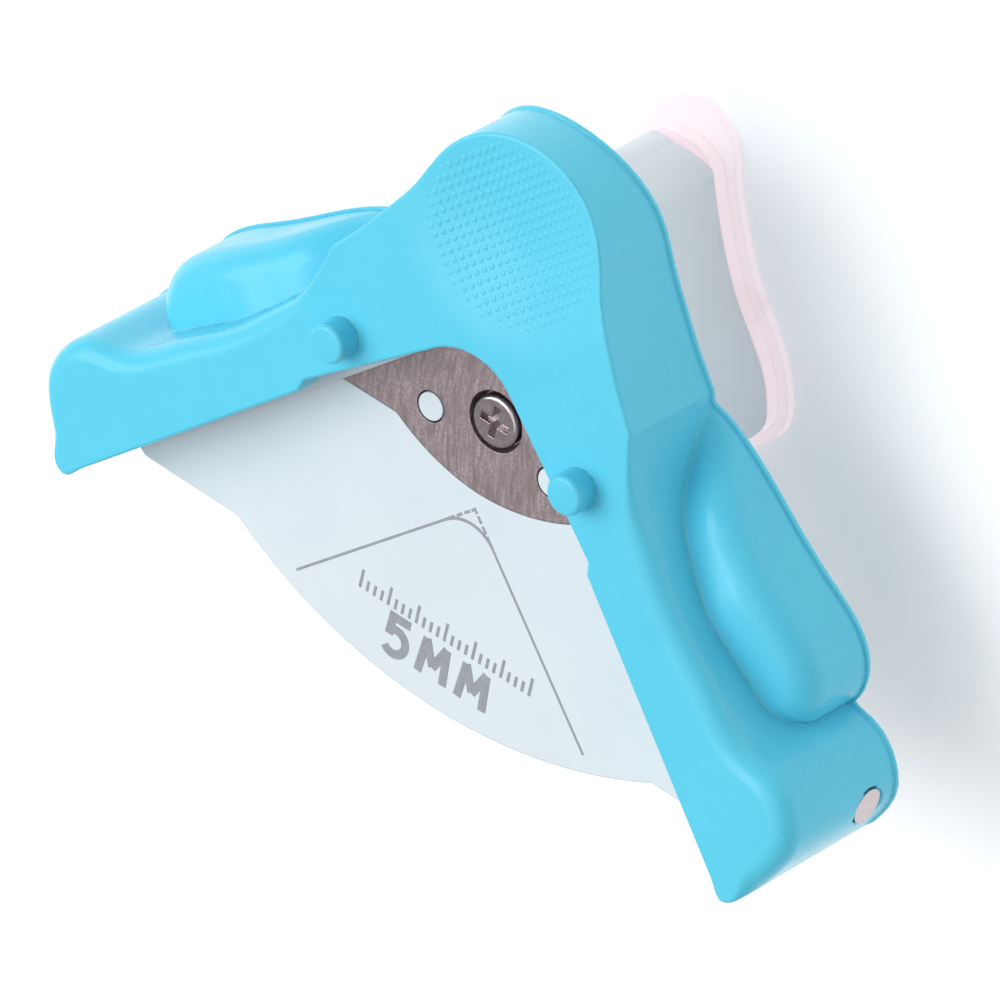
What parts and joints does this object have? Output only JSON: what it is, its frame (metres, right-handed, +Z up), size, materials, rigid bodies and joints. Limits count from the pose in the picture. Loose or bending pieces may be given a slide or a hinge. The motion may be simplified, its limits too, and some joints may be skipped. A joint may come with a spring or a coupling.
{
  "type": "corner rounder punch",
  "caption": "Hand-held corner rounder punch: wing-shaped thumb lever over a flat paper bed with two right-angle stops, steel die and punch, clear chip cover.",
  "frame": {"origin": "middle of the tool's footprint, on the surface that it stands on", "axes": "+X to the right arm and along the lever's hinge, +Y towards the thumb pad, +Z up from the chip cover to the lever"},
  "size_m": [0.1054, 0.0756, 0.0371],
  "materials": {
    "lever_plastic": "glossy",
    "white_plastic": "satin",
    "housing_plastic": "satin",
    "cover_plastic": "clear moulded",
    "die_steel": "brushed",
    "punch_steel": "ground",
    "sheet_steel": "satin",
    "screw_steel": "polished",
    "pin_steel": "satin",
    "spring_steel": "satin",
    "carrier_plastic": "matte"
  },
  "bodies": {
    "base": {"bed": "white_plastic", "guide_frame": "white_plastic", "guide_frame_screws": "screw_steel", "die_plate": "die_steel", "die_plate_screw": "screw_steel", "punch_bracket": "sheet_steel", "bracket_rivets": "sheet_steel", "hinge_pin_left": "pin_steel", "hinge_pin_right": "pin_steel", "lever_spring_left": "spring_steel", "lever_spring_right": "spring_steel", "punch_spring_left": "spring_steel", "punch_spring_right": "spring_steel", "housing": "housing_plastic", "housing_screws": "screw_steel", "cover_hinge_pin": "pin_steel"},
    "lever": {"lever": "lever_plastic"},
    "punch": {"punch": "punch_steel", "punch_carrier": "carrier_plastic", "carrier_pin": "pin_steel"},
    "cover": {"chip_cover": "cover_plastic"}
  },
  "joints": [
    {"name": "lever_hinge", "type": "hinge", "parent": "base", "child": "lever", "pos_m": [0, -0.02165, 0.0207], "axis": [-1, 0, 0], "range_deg": [0, 4.3], "stiffness_Nm_per_rad": 2, "springref_deg": -2.29, "deforming": ["lever_spring_left", "lever_spring_right"]},
    {"name": "punch_slide", "type": "slide", "parent": "base", "child": "punch", "axis": [0, 0, -1], "range_m": [0, 0.0029], "deforming": ["punch_spring_left", "punch_spring_right"]},
    {"name": "cover_hinge", "type": "hinge", "parent": "base", "child": "cover", "pos_m": [0, -0.01665, 0.0025], "axis": [-1, 0, 0], "range_deg": [0, 80]}
  ],
  "couplings": [
    {"joint": "punch_slide", "follows": "lever_hinge", "m_per_rad": 0.0384}
  ]
}
